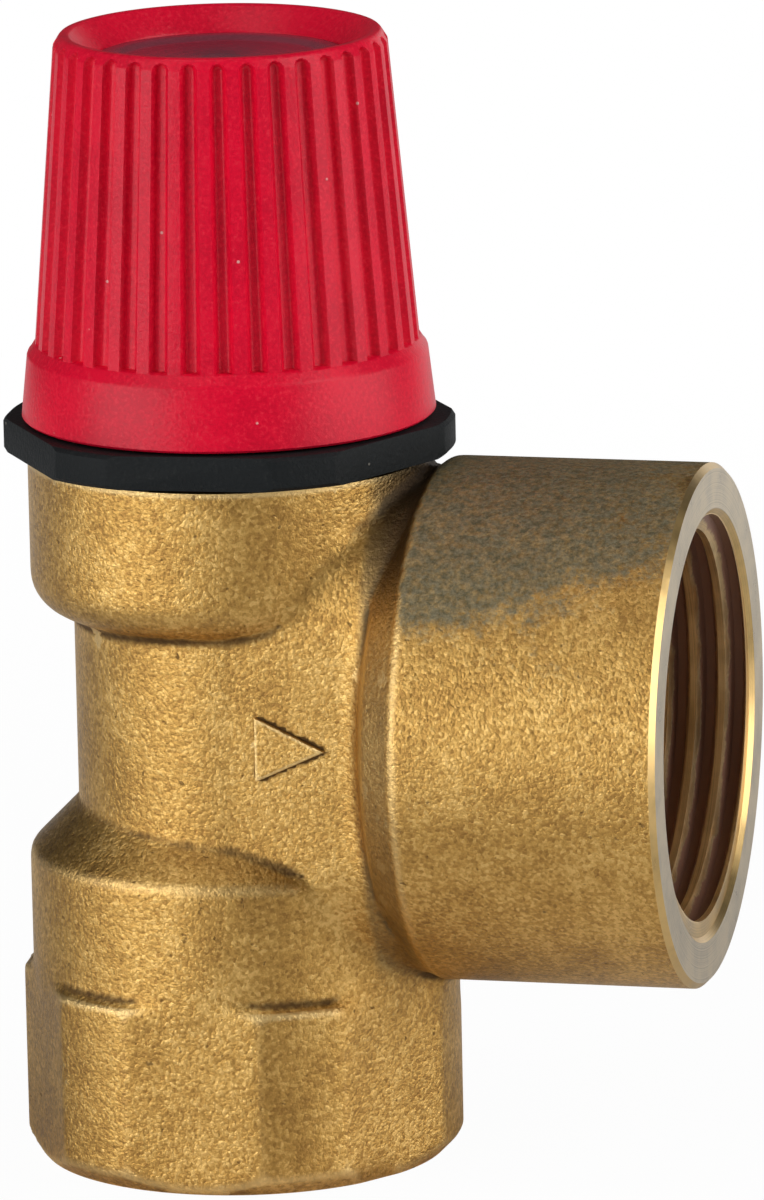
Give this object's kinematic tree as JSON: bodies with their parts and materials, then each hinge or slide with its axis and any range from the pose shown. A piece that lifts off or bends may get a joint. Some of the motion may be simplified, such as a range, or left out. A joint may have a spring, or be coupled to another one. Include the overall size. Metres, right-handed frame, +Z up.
{
  "type": "pressure relief valve",
  "caption": "Brass diaphragm relief valve with threaded bottom inlet, threaded side outlet, black spring hood flange and red ribbed twist knob for a manual test.",
  "frame": {"origin": "centre of the inlet face, on the stem axis", "axes": "+Z up along the stem towards the knob, +X out of the outlet"},
  "size_m": [0.0562, 0.0414, 0.0901],
  "materials": {
    "cast_brass": "hot-forged skin, shot-blasted, with machined sockets and faces",
    "turned_brass": "turned",
    "black_plastic": "glass-filled nylon, satin",
    "red_plastic": "moulded, semi-gloss",
    "cover_plastic": "moulded, gloss",
    "rubber": "matte",
    "steel": "zinc plated",
    "spring_steel": "drawn wire"
  },
  "bodies": {
    "body": {"valve_body": "cast_brass", "bonnet": "black_plastic", "slide_ring": "turned_brass", "diaphragm": "rubber", "adjusting_screw": "turned_brass", "adjuster_lock_ring": "turned_brass", "spring_top_plate": "steel", "spring": "spring_steel"},
    "lifter": {"lift_washer": "steel"},
    "knob": {"knob": "red_plastic", "knob_cover": "cover_plastic"},
    "stem": {"stem": "steel", "lock_nut": "steel", "spring_bottom_plate": "steel", "diaphragm_washer": "steel", "diaphragm_nut": "steel", "disc_holder": "turned_brass", "seat_disc": "rubber", "disc_retainer": "turned_brass", "disc_screw": "turned_brass"}
  },
  "joints": [
    {"name": "knob_rise", "type": "slide", "parent": "body", "child": "lifter", "axis": [0, 0, 1], "range_m": [0, 0.0024], "deforming": ["spring", "diaphragm"]},
    {"name": "knob_turn", "type": "hinge", "parent": "lifter", "child": "knob", "pos_m": [0, 0, 0.08], "axis": [0, 0, 1], "range_deg": [0, 80]},
    {"name": "relief_lift", "type": "slide", "parent": "lifter", "child": "stem", "axis": [0, 0, 1], "range_m": [0, 0.002], "stiffness_N_per_m": 12900, "springref_m": -0.0047, "deforming": ["spring", "diaphragm"]}
  ],
  "couplings": [
    {"joint": "knob_turn", "follows": "knob_rise", "rad_per_m": 581.78}
  ]
}
